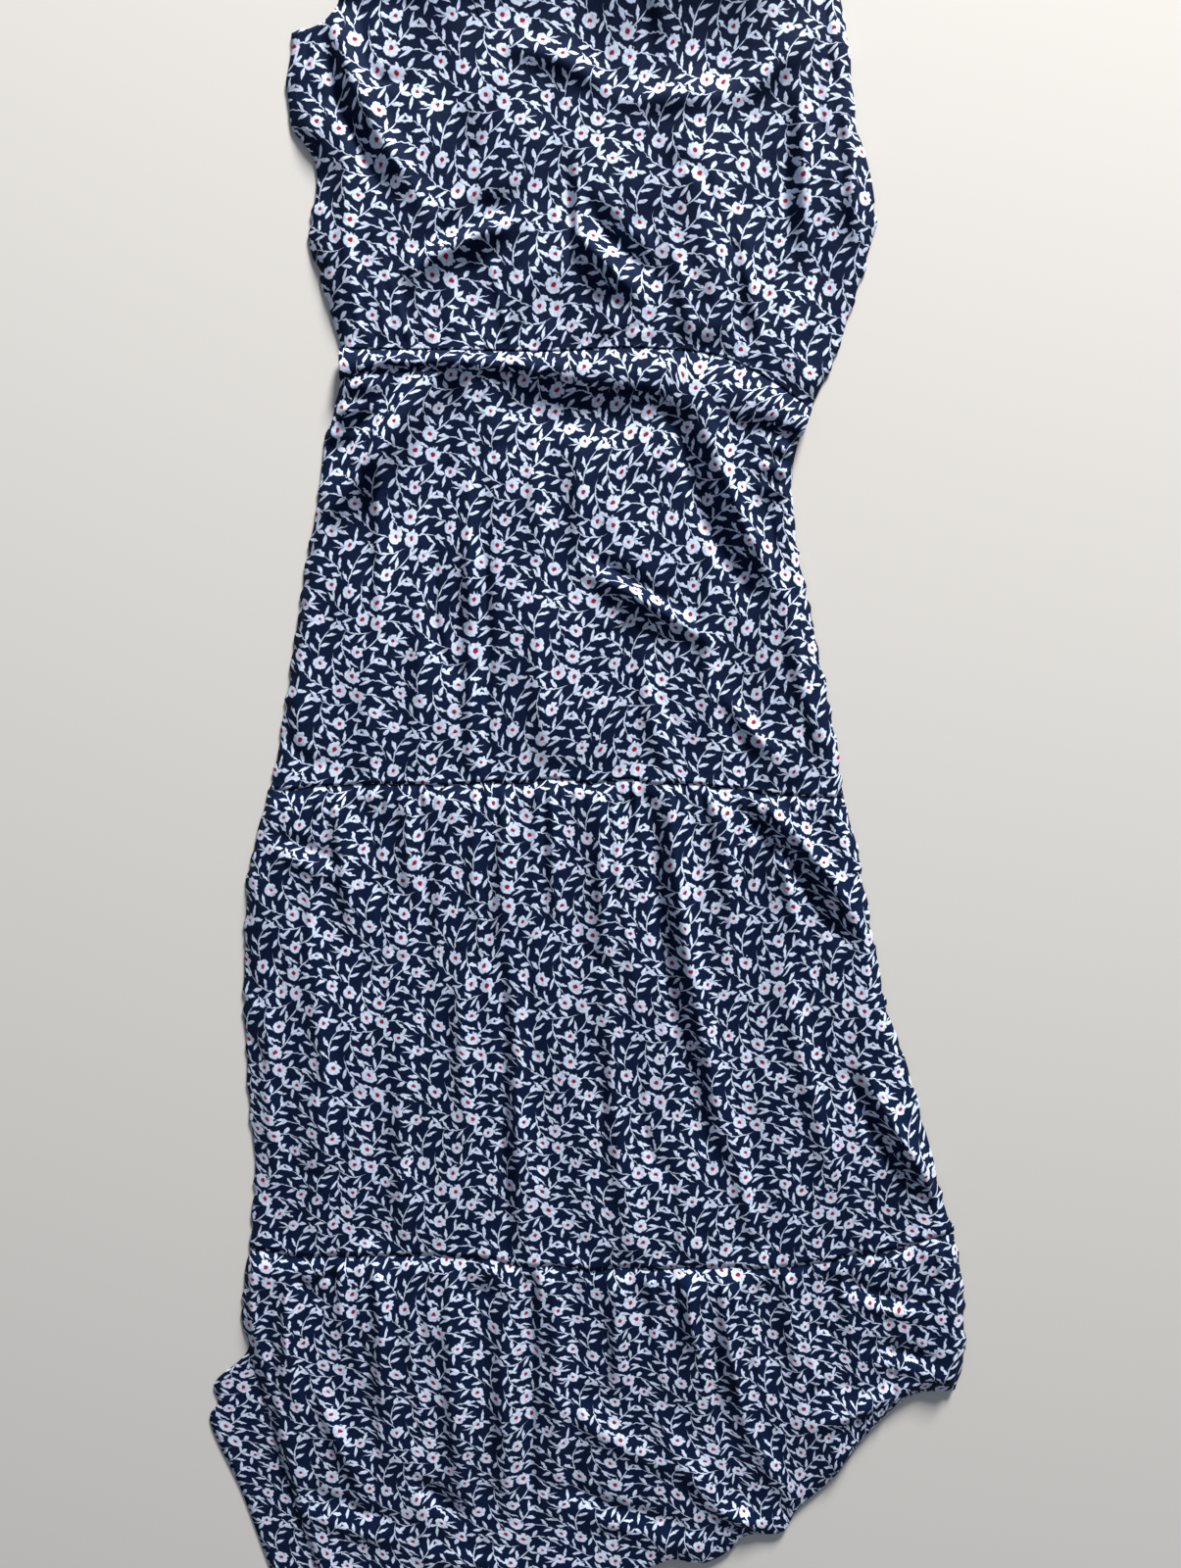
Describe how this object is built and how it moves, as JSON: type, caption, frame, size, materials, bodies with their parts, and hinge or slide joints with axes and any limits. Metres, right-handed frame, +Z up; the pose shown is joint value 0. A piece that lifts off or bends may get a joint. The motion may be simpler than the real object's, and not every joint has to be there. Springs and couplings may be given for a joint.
{
  "type": "maxi dress",
  "caption": "Maxi dress laid flat face up: loose bodice with grown-on cap sleeves, elastic waist and a skirt of gathered tiers in a small flower print.",
  "frame": {"origin": "on the floor under the middle of the dress as it lies", "axes": "+Y towards the neck, along the dress; +X to the right of someone looking down at the front; +Z up from the floor"},
  "size_m": [0.6524, 1.4346, 0.0153],
  "materials": {
    "printed_viscose": "soft woven viscose, navy ground with a small off-white flower and leaf print"
  },
  "bodies": {
    "root": {"bodice_front": "printed_viscose", "bodice_back": "printed_viscose", "tier1_front": "printed_viscose", "tier1_back": "printed_viscose", "tier2_front": "printed_viscose", "tier2_back": "printed_viscose", "tier3_front": "printed_viscose", "tier3_back": "printed_viscose"}
  },
  "joints": []
}
